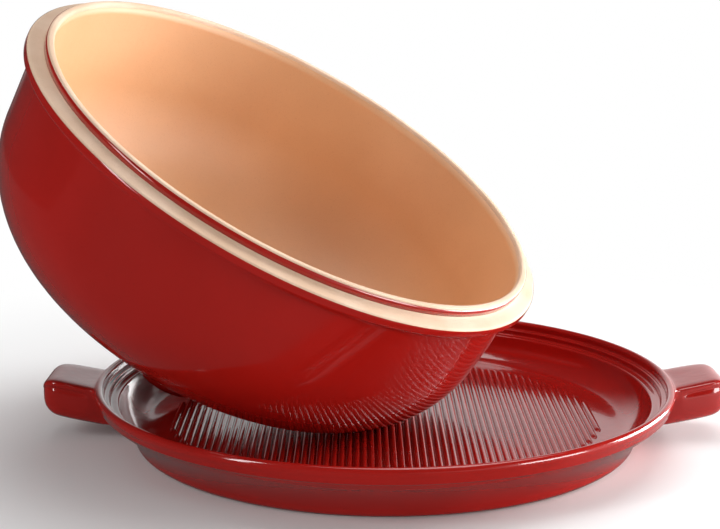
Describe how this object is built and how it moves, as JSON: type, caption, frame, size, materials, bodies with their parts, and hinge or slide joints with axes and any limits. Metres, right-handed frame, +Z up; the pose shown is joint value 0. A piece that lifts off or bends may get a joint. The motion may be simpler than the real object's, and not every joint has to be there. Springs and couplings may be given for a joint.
{
  "type": "bread cloche",
  "caption": "Round glazed stoneware baking dish with a ribbed floor and side handles, and the deep knobbed dome that covers it, shown laid crown-down in the dish.",
  "frame": {"origin": "middle of the dish's underside, on the surface that it stands on", "axes": "+Z up; X runs through the two handles; +X is the side that the open dome leans towards"},
  "size_m": [0.3547, 0.2878, 0.2113],
  "materials": {
    "red_glaze": "high gloss",
    "sand_glaze": "satin gloss",
    "bare_clay": "matt, unglazed"
  },
  "bodies": {
    "dish": {"ribbed_dish": "red_glaze"},
    "dome": {"dome_lid": "red_glaze"}
  },
  "joints": [
    {"name": "dome_lift", "type": "slide", "parent": "dish", "child": "dome", "axis": [0, 0, 1], "range_m": [0, 0.25]}
  ]
}
